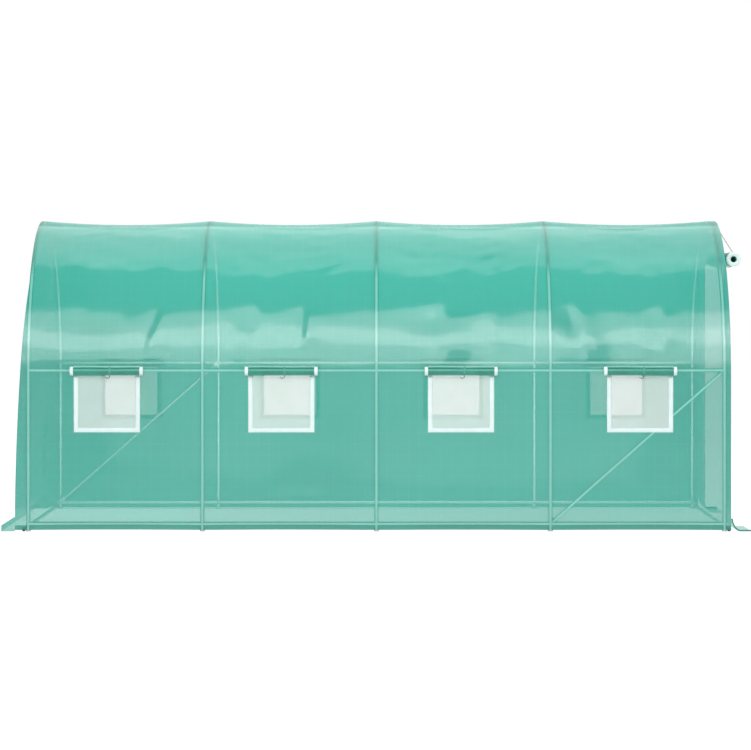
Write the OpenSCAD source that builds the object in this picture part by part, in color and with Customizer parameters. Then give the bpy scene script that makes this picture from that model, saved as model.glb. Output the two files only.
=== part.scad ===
// Polytunnel greenhouse: tube hoops, rails and braces under a woven film cover, with screened
// roll-up windows along both sides and a rolled-up door at the right end.
// X runs along the tunnel, Y across it and Z up. The origin is on the ground, at the middle.

/* [Tunnel] */
// Length from the first hoop to the last, centre to centre
tunnel_length = 4475; // [4000:5:6000]
// Width from the near posts to the far ones, centre to centre
tunnel_width = 2000; // [1900:10:2400]
// Height of the straight posts, where the arches start
post_height = 1000; // [900:10:1200]

/* [Tubes] */
// Outside diameter of the hoops, rails and base rails
tube_d = 25; // [22:0.5:32]
// Outside diameter of the diagonal braces
brace_d = 19; // [16:0.5:22]
// Step down to the narrowed tube end that shows at a push-in joint
swage_step = 2; // [1:0.5:3]
// Width of the ring of narrowed tube that shows at a push-in joint
swage_gap = 4; // [2:0.5:8]
// Height of the side rails over the tops of the posts
mid_rail_rise = 35; // [25:1:80]
// Height of the bottom rails over the ground
bottom_rail_z = 48; // [40:1:90]
// Distance of a rail's push-in joint from the hoop beside it
joint_offset = 60; // [40:1:120]
// Thickness of the flattened brace ends
tab_t = 3; // [2:0.5:5]
// Width of the flattened brace ends
tab_w = 28; // [24:1:36]
// Length of the flattened brace ends
tab_l = 52; // [44:1:70]
// Thickness of the wall of a foot cap
foot_cap_wall = 3.2; // [2:0.1:6]
// Height of the foot caps
foot_cap_h = 9; // [8:1:20]
// Thickness of the floor of a foot cap
foot_cap_floor = 3; // [2:0.5:5]
// Width of the rim of a base rail's end plug
plug_rim = 3; // [2:0.5:5]

/* [Cover] */
// Thickness of the film, with its woven reinforcement
film_t = 2; // [1.5:0.1:3]
// Gap between the cover and what it lies on
film_gap = 0.3; // [0.2:0.05:0.6]
// How far the film leans out at the foot of the left end
left_lean = 72; // [40:1:90]
// Height at which the left end starts to lean out
left_lean_top = 1600; // [900:10:1800]
// How far the film hangs off the hoop at the right end
right_slack = 28; // [4:1:40]
// Height at which the right end starts to lean out over its base rail
right_lean_top = 300; // [200:10:600]
// Reach of the ground skirts from the end hoops
skirt_reach = 175; // [160:1:260]
// Height at which the end film turns out into a skirt
skirt_top = 95; // [70:1:150]
// Width of the bend between the right end's film and its skirts, which lie flat past it
skirt_bend = 60; // [40:1:90]
// Height of the left skirt's outer edge, which stands on the ground
skirt_lip = 40; // [20:1:60]

/* [Windows] */
// Width of a window over its tape border
window_w = 426; // [360:1:520]
// Height of a window over its tape border
window_h = 363; // [300:1:480]
// Width of the tape border
border_w = 30; // [20:1:45]
// Thickness of the tape border
border_t = 2; // [1:0.1:4]
// Thickness of the insect screen
screen_t = 1; // [0.6:0.1:2]
// Gap from a window's top edge up to the top of the posts
window_drop = 2; // [1:1:40]
// Shift of each window from the middle of its bay
window_shift = [-56, -52, -15, 18]; // [-80:1:80]
// Diameter of a rolled-up window flap
flap_roll_d = 50; // [36:1:60]
// Thickness of the tape round the ends of the roll
flap_tape_t = 3.5; // [3:0.5:6]
// Width of the taped ends of the roll
flap_end_w = 21; // [15:1:30]
// Length of the roll over its taped ends
flap_roll_l = 468; // [400:1:560]
// Height of the roll's lowest point over the tops of the posts
flap_roll_lift = 2.5; // [1:0.5:20]
// Width of the tie strap round the roll
strap_w = 10; // [6:1:16]
// Shift of the tie strap from the middle of the roll
strap_shift = 21; // [-60:1:60]
// Thickness of the tie strap
strap_t = 2; // [1:0.1:3]
// Bend radius of the strap's hook
hook_r = 14; // [8:0.5:20]
// Wire diameter of the strap's hook
hook_d = 4; // [3:0.5:6]

/* [Door] */
// Width of the doorway
door_w = 1160; // [900:10:1300]
// Height of the doorway
door_h = 1720; // [1500:10:1780]
// Least height of the panel over the doorway, for which the posts grow if they have to
top_panel_min = 180; // [150:5:240]
// Diameter of the rolled-up door
door_roll_d = 90; // [70:1:110]
// Thickness of the tape round the ends of the door roll
door_tape_t = 2; // [1:0.5:5]
// Width of the taped ends of the door roll
door_end_w = 25; // [15:1:40]
// Diameter of the hollow in the middle of the door roll
door_core_d = 40; // [20:1:50]
// How far each end of the roll runs past the doorway
door_roll_overlap = 25; // [10:1:40]
// Gap between the end film and the door roll
door_roll_gap = 16; // [8:1:30]
// Height of the roll's axis over the top of the doorway
door_roll_rise = 32; // [20:1:40]
// Height of the short sheet that joins the roll to the end film, over the top of the doorway
door_sheet_rise = 15; // [8:1:20]
// Distance between the two door ties
tie_spacing = 600; // [400:10:800]
// Diameter of the tie cord
tie_d = 5; // [4:0.5:8]
// Distance of the ties' upper ends below the edge of the cover
tie_drop = 30; // [20:1:60]

/* [Hidden] */
$fn = 96;
bays = 4;
bay = tunnel_length / bays;
bends = 4;
bend_angle = 180 / bends;
half_len = tunnel_length / 2;
arch_r = tunnel_width / 2;
tube_r = tube_d / 2;
swage_d = tube_d - 2 * swage_step;
foot_cap_d = tube_d + 2 * film_gap + 2 * foot_cap_wall;
// Rails lie inside the hoops, so the film dips by one tube between hoops until it meets them.
rail_r = arch_r - tube_d - film_gap;
film_sag = tube_d + film_gap;
film_r = arch_r + tube_r + film_gap;
film_out = film_r + film_t;
// The arches start at the tops of the posts, which are tall enough to clear the doorway.
spring_z = max(post_height, door_h + top_panel_min - film_out);
hem_z = foot_cap_h + film_gap;
mid_rail_angle = asin(mid_rail_rise / rail_r);
mid_rail_y = rail_r * cos(mid_rail_angle);
rail_end = half_len + tube_r - film_gap;
// The base rails lie on the ground just outside the end posts' foot caps.
base_rail_x = half_len + foot_cap_d / 2 + film_gap + tube_r;
base_rail_half = arch_r + tube_r - plug_rim - 2 * film_gap;
base_reach = base_rail_x + tube_r - (half_len + tube_r + film_gap);
// An end sheet is given by its slack off the hoop, its lean at the ground and where the lean starts.
left_end = [0, left_lean, left_lean_top];
right_end = [right_slack, max(film_gap, base_reach + 2 * film_gap - right_slack), right_lean_top];
lean_steps = 8;
bay_steps = 12;
roof_strips = 4;
window_steps = 6;
skirt_steps = 8;
outline_steps = 360;
overrun = left_lean + base_reach;
far_out = 3 * left_lean + skirt_reach;
crown_z = spring_z + film_out + film_t;
window_top = spring_z - window_drop;
window_bottom = window_top - window_h;
flap_end_d = flap_roll_d + 2 * flap_tape_t;
flap_roll_rise = flap_end_d / 2 + flap_roll_lift;
cut = 200;
door_end_d = door_roll_d + 2 * door_tape_t;
door_face = half_len + tube_r + film_gap + right_slack + film_t;
door_roll_x = door_face + door_roll_gap + door_end_d / 2;
door_roll_z = door_h + door_roll_rise;
door_roll_half = door_w / 2 + door_roll_overlap;
tie_r = tie_d / 2;
tie_top_z = spring_z + sqrt(film_out * film_out - tie_spacing * tie_spacing / 4) - tie_drop;
tie_sides = 8;
tie_wrap_steps = 12;
brace_low_z = bottom_rail_z;
brace_high_z = spring_z + mid_rail_rise;
brace_y = arch_r - tube_r - film_gap - brace_d / 2;
// The flattened brace ends lie on the inner faces of the rails.
tab_y = mid_rail_y - tube_r - film_gap - tab_t / 2;

steel = [0.80, 0.82, 0.82];
film_green = [0.36, 0.74, 0.66];
roll_green = [0.20, 0.53, 0.44];
tape_white = [0.93, 0.95, 0.95];
screen_white = [0.80, 0.86, 0.83];
plug_black = [0.08, 0.08, 0.08];
cap_grey = [0.78, 0.78, 0.78];
cord_grey = [0.62, 0.60, 0.60];

// Place of a hoop along the tunnel, counted from 0 at the left end
function hoop_x(i) = -half_len + i * bay;
// Middle of a window, counted from 0 at the left end
function window_x(i) = hoop_x(i) + bay / 2 + window_shift[i];
// Even steps from one value to another
function steps(a, b, n) = [for (k = [0:n]) a + (b - a) * k / n];
function reversed(list) = [for (k = [len(list) - 1:-1:0]) list[k]];
// Depth of the film's dip at x: a parabola between hoops, and none past the end hoops
function sag_at(x) =
  let (t = (x + half_len) / bay, u = t - floor(t))
  abs(x) >= half_len ? 0 : 4 * film_sag * u * (1 - u);
// The film's section along the tunnel, as [x, distance from the middle], off outside its inner face
function film_line(xs, off) = [for (x = xs) [x, film_r + off - sag_at(x)]];
function film_band(xs, low, high) = concat(film_line(xs, low), reversed(film_line(xs, high)));
// Distance of an end sheet's inner face from the middle, at height z
function end_face(z, sheet) =
  half_len + tube_r + film_gap + sheet[0] + sheet[1] * sin(90 * max(0, 1 - z / sheet[2]));
function end_levels(low, sheet) = concat(steps(low, sheet[2], lean_steps), [crown_z]);
function end_line(low, sheet, off) = [for (z = end_levels(low, sheet)) [end_face(z, sheet) + off, z]];
// Stations along one bay of the cover, run on past the end hoops in the outer bays
function bay_stations(i) = concat(
  i == 0 ? [hoop_x(0) - overrun] : [],
  steps(hoop_x(i), hoop_x(i + 1), bay_steps),
  i == bays - 1 ? [hoop_x(bays) + overrun] : []
);

// Turns a shape drawn in X and Y with its axis on Z to one drawn in Y and Z with its axis on X
module along_x() rotate([90, 0, 90]) children();
// Draws a flat shape given in X and Z, and gives it a length in Y
module across(length) rotate([90, 0, 0]) linear_extrude(length, center = true) children();
module near_side() mirror([0, 1, 0]) children();
module left_side() mirror([1, 0, 0]) children();

// Frame

module tube(length, d) cylinder(h = length, d = d);

// One bend of an arch, with a narrowed end that stops just short of the next bend
module bend(last) {
  neck = swage_gap / arch_r * 180 / PI;
  stop = bend_angle - (last ? 0 : film_gap / arch_r * 180 / PI);
  body = stop - (last ? 0 : neck);
  rotate_extrude(angle = body) translate([arch_r, 0]) circle(d = tube_d);
  if (!last)
    rotate([0, 0, body - neck])
    rotate_extrude(angle = 2 * neck) translate([arch_r, 0]) circle(d = swage_d);
}

module arch(i) {
  color(steel)
  translate([hoop_x(i), 0, spring_z])
  along_x()
  for (k = [0:bends - 1]) rotate([0, 0, k * bend_angle]) bend(k == bends - 1);
}

module posts() {
  color(steel)
  for (i = [0:bays])
    translate([hoop_x(i), arch_r, 0]) {
      translate([0, 0, foot_cap_floor]) tube(spring_z - swage_gap - foot_cap_floor, tube_d);
      translate([0, 0, spring_z - swage_gap]) tube(swage_gap, swage_d);
    }
}

module foot_caps() {
  color(cap_grey)
  for (i = [0:bays], side = [-1, 1])
    translate([hoop_x(i), side * arch_r, 0])
    difference() {
      cylinder(h = foot_cap_h, d = foot_cap_d);
      translate([0, 0, foot_cap_floor]) cylinder(h = foot_cap_h, d = tube_d + 2 * film_gap);
    }
}

// One run of rail tubes, pushed together beside each inner hoop
module rail_run() {
  color(steel)
  along_x() {
    for (i = [0:bays - 1]) {
      low = i == 0 ? -rail_end : hoop_x(i) + joint_offset + swage_gap;
      high = i == bays - 1 ? rail_end : hoop_x(i + 1) + joint_offset;
      translate([0, 0, low]) tube(high - low, tube_d);
      if (i < bays - 1) translate([0, 0, high]) tube(swage_gap, swage_d);
    }
  }
}

module ridge_purlin() translate([0, 0, spring_z + rail_r]) rail_run();
module mid_rail() translate([0, mid_rail_y, spring_z + mid_rail_rise]) rail_run();
module bottom_rail() translate([0, rail_r, bottom_rail_z]) rail_run();

module end_base_rails() {
  color(steel)
  for (side = [-1, 1])
    translate([side * base_rail_x, base_rail_half, tube_r])
    rotate([90, 0, 0]) tube(2 * base_rail_half, tube_d);
}

module base_rail_plugs() {
  color(plug_black)
  for (side = [-1, 1], end = [0, 1])
    mirror([0, end, 0])
    translate([side * base_rail_x, base_rail_half + plug_rim, tube_r])
    rotate([90, 0, 0]) cylinder(h = plug_rim, d = tube_d);
}

// A diagonal tube inside two posts, rising to the right, with flattened ends that step in over the rails
module brace(i) {
  rise = brace_high_z - brace_low_z;
  length = norm([bay, rise]);
  body = length - 2 * tab_l;
  tab_flat = 0.6 * tab_l;
  step_in = tab_y - brace_y;
  color(steel)
  translate([hoop_x(i), brace_y, brace_low_z])
  rotate([0, -atan2(rise, bay), 0]) {
    translate([tab_l, 0, 0]) along_x() tube(body, brace_d);
    for (end = [0, 1])
      translate([end * length, 0, 0]) mirror([end, 0, 0]) {
        hull() {
          translate([tab_l - 1, 0, 0]) along_x() cylinder(h = 1, d = brace_d, $fn = 32);
          translate([tab_flat - 1, step_in, 0]) cube([2, tab_t, tab_w], center = true);
        }
        translate([-tab_w / 2, step_in - tab_t / 2, -tab_w / 2]) cube([tab_flat + tab_w / 2, tab_t, tab_w]);
      }
  }
}

// Cover

// Everything outside the inner face of an end sheet
module past_end(sheet) {
  line = end_line(-cut, sheet, 0);
  reach = half_len + far_out;
  across(2 * tunnel_width) polygon(concat(line, [[reach, crown_z], [reach, -cut]]));
}

module trim_ends() {
  difference() {
    children();
    past_end(right_end);
    left_side() past_end(left_end);
  }
}

// One bay of the roof, in welded strips: the film's dipped section turned round the tunnel's axis
module roof_bay(i) {
  band = film_band(bay_stations(i), 0, film_t);
  strip = 180 / roof_strips;
  seam = film_gap / film_r * 180 / PI;
  color(film_green)
  trim_ends()
  translate([0, 0, spring_z])
  along_x()
  for (k = [0:roof_strips - 1])
    rotate([0, 0, k * strip])
    rotate_extrude(angle = strip - (k == roof_strips - 1 ? 0 : seam)) polygon([for (p = band) [p[1], p[0]]]);
}

// The opening of a window, which runs up to the roof
module window_hole(i) {
  low = window_bottom + border_w;
  translate([window_x(i) - window_w / 2 + border_w, film_r - cut / 2, low])
  cube([window_w - 2 * border_w, cut, spring_z + film_t - low]);
}

// One bay of the side wall, with the same section, and its window cut through
module wall_bay(i) {
  color(film_green)
  difference() {
    trim_ends()
    translate([0, 0, hem_z])
    linear_extrude(spring_z - hem_z) polygon(film_band(bay_stations(i), 0, film_t));
    window_hole(i);
  }
}

module end_outline() {
  translate([0, spring_z]) circle(r = film_out, $fn = outline_steps);
  translate([-film_out, 0]) square([2 * film_out, spring_z]);
}

// An end sheet: its leaning section, cut to the outline of the cover
module end_sheet(sheet) {
  band = concat(end_line(skirt_top, sheet, 0), reversed(end_line(skirt_top, sheet, film_t)));
  intersection() {
    across(2 * tunnel_width) polygon(band);
    along_x() linear_extrude(half_len + far_out) end_outline();
  }
}

module left_end_wall() color(film_green) left_side() end_sheet(left_end);

module right_end_side_panel() {
  color(film_green)
  intersection() {
    end_sheet(right_end);
    translate([0, door_w / 2, 0]) cube([half_len + far_out, tunnel_width, crown_z]);
  }
}

module right_end_top_panel() {
  color(film_green)
  intersection() {
    end_sheet(right_end);
    translate([0, -door_w / 2, door_h]) cube([half_len + far_out, door_w, crown_z]);
  }
}

// The foot of the left end sheet: it slopes out to a lip on the ground, and a web closes it at each side
module left_skirt() {
  start = end_face(skirt_top, left_end);
  reach = half_len + skirt_reach;
  web_start = end_face(0, left_end) + film_gap;
  over = [[start + film_t, skirt_top], [reach, skirt_lip], [reach, 0]];
  under = [[reach - film_t, 0], [reach - film_t, skirt_lip - film_t], [start, skirt_top - film_t], [start, skirt_top]];
  color(film_green)
  left_side() {
    across(2 * film_out) polygon(concat(over, under));
    for (side = [-1, 1])
      translate([0, side * (film_out - film_t / 2), 0])
      across(film_t)
      polygon([[web_start, film_gap], [web_start, skirt_top - 2 * film_t], [reach - film_t / 2, skirt_lip - film_t / 2],
        [reach - film_t / 2, film_gap]]);
  }
}

// The foot of the right end sheet on one side of the doorway: a quarter bend, then flat on the ground
module right_skirt() {
  start = end_face(skirt_top, right_end);
  bend_x = start + skirt_bend;
  reach = half_len + skirt_reach;
  angles = steps(0, 90, skirt_steps);
  under = [for (a = angles) [bend_x - skirt_bend * cos(a), skirt_top * (1 - sin(a))]];
  over = [for (a = angles)
    [bend_x - (skirt_bend - film_t) * cos(a), film_t + (skirt_top - film_t) * (1 - sin(a))]];
  color(film_green)
  translate([0, (door_w / 2 + film_out) / 2, 0])
  across(film_out - door_w / 2) polygon(concat(under, [[reach, 0], [reach, film_t]], reversed(over)));
}

module right_skirts() {
  right_skirt();
  near_side() right_skirt();
}

// Windows

module screens() {
  color(screen_white)
  for (i = [0:bays - 1]) {
    xs = steps(window_x(i) - window_w / 2, window_x(i) + window_w / 2, window_steps);
    low = film_t + film_gap;
    translate([0, 0, window_bottom])
    linear_extrude(window_h) polygon(film_band(xs, low, low + screen_t));
  }
}

// Tape down both sides of a window and under it
module borders() {
  color(tape_white)
  for (i = [0:bays - 1]) {
    xs = steps(window_x(i) - window_w / 2, window_x(i) + window_w / 2, window_steps);
    low = film_t + screen_t + 2 * film_gap;
    difference() {
      translate([0, 0, window_bottom])
      linear_extrude(window_h) polygon(film_band(xs, low, low + border_t));
      window_hole(i);
    }
  }
}

// Puts a shape with its axis on Z at the axis of a window's roll, which lies on the film
module at_roll(i) {
  ends = [window_x(i) - flap_roll_l / 2, window_x(i) + flap_roll_l / 2];
  lie = film_out - min(sag_at(ends[0]), sag_at(ends[1])) + flap_end_d / 2 + film_gap;
  y = sqrt(lie * lie - flap_roll_rise * flap_roll_rise);
  translate([window_x(i), y, spring_z + flap_roll_rise]) along_x() children();
}

module window_rolls() {
  color(roll_green)
  for (i = [0:bays - 1])
    at_roll(i) {
      cylinder(h = flap_roll_l - 2 * flap_end_w, d = flap_roll_d, center = true);
      for (end = [-1, 1])
        translate([0, 0, end * (flap_roll_l - flap_end_w) / 2])
        cylinder(h = flap_end_w, d = flap_end_d, center = true);
    }
}

// A strap round each roll, with a wire hook under it that curves down and to the left
module window_ties() {
  strap_in = flap_roll_d / 2 + film_gap;
  shank = hook_r / 2;
  color(roll_green)
  for (i = [0:bays - 1])
    at_roll(i)
    translate([0, 0, strap_shift]) {
      rotate_extrude() translate([strap_in, -strap_w / 2]) square([strap_t, strap_w]);
      translate([0, -strap_in - strap_t / 2, 0]) rotate([90, 0, 0]) cylinder(h = shank, d = hook_d, $fn = 24);
      translate([0, -strap_in - strap_t / 2 - shank, -hook_r])
      rotate([180, -90, 0])
      rotate_extrude(angle = 160) translate([hook_r, 0]) circle(d = hook_d, $fn = 24);
    }
}

// Door

module door_roll() {
  color(roll_green)
  difference() {
    translate([door_roll_x, 0, door_roll_z]) rotate([90, 0, 0]) {
      cylinder(h = 2 * (door_roll_half - door_end_w), d = door_roll_d, center = true);
      for (end = [-1, 1])
        translate([0, 0, end * (door_roll_half - door_end_w / 2)])
        cylinder(h = door_end_w, d = door_end_d, center = true);
      // The sheet between the roll and the end film
      translate([-(door_roll_x - door_face - film_gap), door_sheet_rise - door_roll_rise, 0])
      translate([0, -film_t / 2, -door_w / 2])
      cube([door_roll_x - door_face - (door_core_d + door_roll_d) / 4, film_t, door_w]);
    }
    translate([door_roll_x, 0, door_roll_z])
    rotate([90, 0, 0]) cylinder(h = 2 * door_roll_half + cut, d = door_core_d, center = true);
  }
}

// A cord swept along a path in X and Z
module cord_loop(path) {
  count = len(path);
  function along(k) = path[min(k + 1, count - 1)] - path[max(k - 1, 0)];
  function ring(k) =
    let (d = along(k) / norm(along(k)), side = [d[1], -d[0]])
    [for (s = [0:tie_sides - 1]) let (a = 360 * s / tie_sides, w = path[k] + tie_r * cos(a) * side)
      [w[0], tie_r * sin(a), w[1]]];
  points = [for (k = [0:count - 1]) each ring(k)];
  walls = [for (k = [0:count - 2], s = [0:tie_sides - 1])
    let (t = (s + 1) % tie_sides, a = k * tie_sides)
    [a + s, a + t, a + t + tie_sides, a + s + tie_sides]];
  first = reversed([for (s = [0:tie_sides - 1]) s]);
  last = [for (s = [0:tie_sides - 1]) (count - 1) * tie_sides + s];
  polyhedron(points, concat([first], walls, [last]));
}

// Two cords that hang from the end film and pass round the door roll
module door_ties() {
  wrap_r = door_end_d / 2 + film_gap + tie_r;
  roll = [door_roll_x, door_roll_z];
  top = [door_face + film_gap + tie_r, tie_top_z];
  reach = top - roll;
  leave = atan2(reach[1], reach[0]) - acos(wrap_r / norm(reach));
  foot = [door_face + film_gap + tie_r, door_h + tie_d];
  back = foot - roll;
  meet = atan2(back[1], back[0]) + acos(wrap_r / norm(back));
  wrap = [for (a = steps(leave, meet, tie_wrap_steps)) roll + wrap_r * [cos(a), sin(a)]];
  color(cord_grey)
  for (side = [-1, 1])
    translate([0, side * tie_spacing / 2, 0]) cord_loop(concat([top], wrap, [foot]));
}

arch(0);  // arch_1
arch(1);  // arch_2
arch(2);  // arch_3
arch(3);  // arch_4
arch(4);  // arch_5
near_side() posts();  // near_posts
posts();  // far_posts
foot_caps();
ridge_purlin();
near_side() mid_rail();  // near_mid_rail
mid_rail();  // far_mid_rail
near_side() bottom_rail();  // near_bottom_rail
bottom_rail();  // far_bottom_rail
end_base_rails();
base_rail_plugs();
near_side() brace(bays - 1);  // near_brace
brace(0);  // far_brace
roof_bay(0);  // roof_bay_1
roof_bay(1);  // roof_bay_2
roof_bay(2);  // roof_bay_3
roof_bay(3);  // roof_bay_4
near_side() wall_bay(0);  // near_wall_bay_1
near_side() wall_bay(1);  // near_wall_bay_2
near_side() wall_bay(2);  // near_wall_bay_3
near_side() wall_bay(3);  // near_wall_bay_4
wall_bay(0);  // far_wall_bay_1
wall_bay(1);  // far_wall_bay_2
wall_bay(2);  // far_wall_bay_3
wall_bay(3);  // far_wall_bay_4
left_end_wall();
near_side() right_end_side_panel();  // right_end_near_panel
right_end_side_panel();  // right_end_far_panel
right_end_top_panel();
left_skirt();
right_skirts();
door_roll();
door_ties();
near_side() screens();  // near_window_screens
screens();  // far_window_screens
near_side() borders();  // near_window_borders
borders();  // far_window_borders
near_side() window_rolls();  // near_window_rolls
window_rolls();  // far_window_rolls
near_side() window_ties();  // near_window_ties
window_ties();  // far_window_ties
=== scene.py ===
"""Polytunnel greenhouse: film cover, windows, rolls, ties and bolts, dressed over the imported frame.

X runs along the tunnel, Y to the far side and Z up, in metres, with the origin on the ground at the middle."""
import bpy
import numpy as np
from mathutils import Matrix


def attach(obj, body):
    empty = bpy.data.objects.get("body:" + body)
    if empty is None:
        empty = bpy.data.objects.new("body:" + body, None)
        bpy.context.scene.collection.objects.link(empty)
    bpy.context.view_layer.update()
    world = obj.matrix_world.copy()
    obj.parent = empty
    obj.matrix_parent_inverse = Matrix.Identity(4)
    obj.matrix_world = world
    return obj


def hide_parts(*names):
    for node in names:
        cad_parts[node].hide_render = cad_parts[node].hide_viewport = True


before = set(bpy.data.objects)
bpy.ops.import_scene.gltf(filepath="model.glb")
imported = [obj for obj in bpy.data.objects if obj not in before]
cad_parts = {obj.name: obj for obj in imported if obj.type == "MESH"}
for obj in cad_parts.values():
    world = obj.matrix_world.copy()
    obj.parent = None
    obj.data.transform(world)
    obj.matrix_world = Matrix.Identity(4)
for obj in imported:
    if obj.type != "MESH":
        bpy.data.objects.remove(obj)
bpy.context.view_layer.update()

# Sizes of the frame and of the cover, as in the part's source, and lifts of the pieces laid on the film
HALF_LEN = 2.2375
BAYS = 4
BAY = 2 * HALF_LEN / BAYS
ARCH_R = 1.0
SPRING_Z = 1.0
TUBE_R = 0.0125
GAP = 0.0003
FILM_T = 0.002
SAG = 2 * TUBE_R + GAP
FILM_R = ARCH_R + TUBE_R + GAP + FILM_T / 2
EDGE_R = FILM_R + FILM_T / 2
HEM_Z, HEM_H, HEM_LIFT, HEM_STEP = 0.0093, 0.030, 0.0012, 0.010
RAIL_R = ARCH_R - 2 * TUBE_R - GAP
MID_RAIL_RISE = 0.035
BOTTOM_RAIL_Z = 0.048
LEFT_END = (0.0, 0.072, 1.6)
RIGHT_END = (0.028, 0.0011, 0.3)
SKIRT_TOP = 0.095
SKIRT_REACH = 0.175
SKIRT_BEND = 0.060
SKIRT_LIP = 0.040
WINDOW_X = -HALF_LEN + BAY * (np.arange(BAYS) + 0.5) + np.array([-0.056, -0.052, -0.015, 0.018])
WINDOW_W, WINDOW_H, WINDOW_TOP = 0.426, 0.363, 0.998
BORDER_W = 0.030
SCREEN_LIFT, BORDER_LIFT, BORDER_T = 0.0016, 0.0028, 0.0012
ROLL_R, ROLL_END_R, ROLL_L, ROLL_END_W = 0.025, 0.0285, 0.468, 0.021
ROLL_Z = SPRING_Z + ROLL_END_R + 0.0025
ROLL_CORE_R, ROLL_END_CORE_R = 0.006, 0.008
FLAP_RISE, FLAP_LEAN, FLAP_LIFT, FLAP_RUN = 0.034, np.radians(34), 0.0008, 0.04
DOOR_W, DOOR_H = 1.16, 1.72
DOOR_FACE = HALF_LEN + TUBE_R + GAP + RIGHT_END[0] + FILM_T
DOOR_ROLL_R, DOOR_END_R, DOOR_CORE_R, DOOR_END_W = 0.045, 0.047, 0.020, 0.025
DOOR_ROLL_X, DOOR_ROLL_Z = DOOR_FACE + 0.016 + DOOR_END_R, DOOR_H + 0.032
DOOR_ROLL_HALF = DOOR_W / 2 + 0.025

WALL_L = SPRING_Z - HEM_Z
ROOF_L = np.pi * FILM_R
ROUND_L = 2 * WALL_L + ROOF_L
RAILS_S = np.array([BOTTOM_RAIL_Z - HEM_Z, WALL_L + MID_RAIL_RISE, WALL_L + ROOF_L / 2,
                    ROUND_L - WALL_L - MID_RAIL_RISE, ROUND_L - BOTTOM_RAIL_Z + HEM_Z])
TAU = 2 * np.pi
rng = np.random.default_rng(11)


# Camera

camera = bpy.data.objects.new("camera", bpy.data.cameras.new("camera"))
bpy.context.scene.collection.objects.link(camera)
camera.location = (0, -20.8, 1.60)
camera.rotation_euler = (np.pi / 2, 0, 0)
camera.data.lens = 147.6
camera.data.shift_x = -0.0012
camera.data.shift_y = -0.1232
bpy.context.scene.camera = camera


# Shapes

def spaced(marks, step):
    """Grid lines through all the marks, in rising order, with even steps of about the given size between them."""
    marks = np.unique(np.round(marks, 6))
    counts = np.maximum(1, np.round(np.diff(marks) / step).astype(int))
    runs = [np.linspace(a, b, n, endpoint=False) for a, b, n in zip(marks[:-1], marks[1:], counts)]
    return np.concatenate(runs + [marks[-1:]])


def surface(points, uv=None, keep=None, ring=(False, False), flip=False):
    """Vertices, quads and UVs of a grid of points [i, j]. A quad faces along the step in i crossed with the step
    in j, or the other way with flip. ring closes the grid on itself in i or j, and keep says which quads stay."""
    n, m = points.shape[:2]
    i = np.arange(n if ring[0] else n - 1)[:, None]
    j = np.arange(m if ring[1] else m - 1)[None, :]
    corners = [((i + a) % n) * m + (j + b) % m for a, b in ((0, 0), (1, 0), (1, 1), (0, 1))]
    quads = np.stack(corners, -1)
    quads = quads[keep] if keep is not None else quads.reshape(-1, 4)
    if flip:
        quads = quads[:, ::-1]
    used, quads = np.unique(quads, return_inverse=True)
    uv = np.zeros(points.shape[:2] + (2,)) if uv is None else uv
    return points.reshape(-1, 3)[used], quads.reshape(-1, 4), uv.reshape(-1, 2)[used]


def revolved(profile, centre, axis, sides, swell=None):
    """A closed profile of [distance along the axis, radius] turned round an axis through the centre. swell gives a
    share to add to the radius at each angle and distance along."""
    axis = np.asarray(axis, float)
    across = np.cross(axis, (0.0, 0.0, 1.0) if abs(axis[2]) < 0.9 else (1.0, 0.0, 0.0))
    across /= np.linalg.norm(across)
    up = np.cross(axis, across)
    angle = np.arange(sides)[:, None] * TAU / sides
    along, radius = profile[None, :, 0], profile[None, :, 1]
    if swell is not None:
        radius = radius * (1 + swell(angle, along))
    out = np.cos(angle)[..., None] * across + np.sin(angle)[..., None] * up
    points = np.asarray(centre) + along[..., None] * axis + radius[..., None] * out
    uv = np.stack(np.broadcast_arrays(angle * profile[:, 1].max(), along), -1)
    return surface(points, uv, ring=(True, True))


def piece(name, parts, material, smooth=True):
    """One object made of parts, each with its vertices, faces and UVs, that rides on the tunnel."""
    verts, faces, uvs, base = [], [], [], 0
    for v, f, uv in parts:
        faces += [[int(k) + base for k in face] for face in f]
        verts.append(v)
        uvs.append(uv)
        base += len(v)
    verts, uvs = np.concatenate(verts), np.concatenate(uvs)
    mesh = bpy.data.meshes.new(name)
    mesh.from_pydata(verts.tolist(), [], faces)
    layer = mesh.uv_layers.new(name="flat")
    corner = np.empty(len(mesh.loops), np.int32)
    mesh.loops.foreach_get("vertex_index", corner)
    layer.data.foreach_set("uv", uvs[corner].astype(np.float32).ravel())
    mesh.polygons.foreach_set("use_smooth", np.full(len(mesh.polygons), smooth))
    mesh.update()
    made = bpy.data.objects.new(name, mesh)
    bpy.context.scene.collection.objects.link(made)
    mesh.materials.append(material)
    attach(made, "root")
    return made


def area_of(made):
    """Area of a piece's faces, in square metres."""
    areas = np.empty(len(made.data.polygons))
    made.data.polygons.foreach_get("area", areas)
    return float(areas.sum())


def waves(count, shortest, longest, lean, size):
    """Plane waves for a random surface: wave numbers along the first and second direction, phases and heights.
    Wavelengths spread evenly on a log scale, heights grow with them, and lean turns the waves to the second way."""
    length = np.exp(rng.uniform(np.log(shortest), np.log(longest), count))
    angle = rng.normal(np.pi / 2, lean, count)
    height = size * (length / longest) * rng.uniform(0.6, 1.4, count) / np.sqrt(count)
    return np.cos(angle) / length, np.sin(angle) / length, rng.uniform(0, TAU, count), height


def wave_sum(x, s, table):
    """Sum of the plane waves of a table at x and s."""
    total = np.zeros(np.broadcast(x, s).shape)
    for kx, ks, phase, height in zip(*table):
        total += height * np.sin(TAU * (kx * x + ks * s) + phase)
    return total


# Materials

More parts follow.
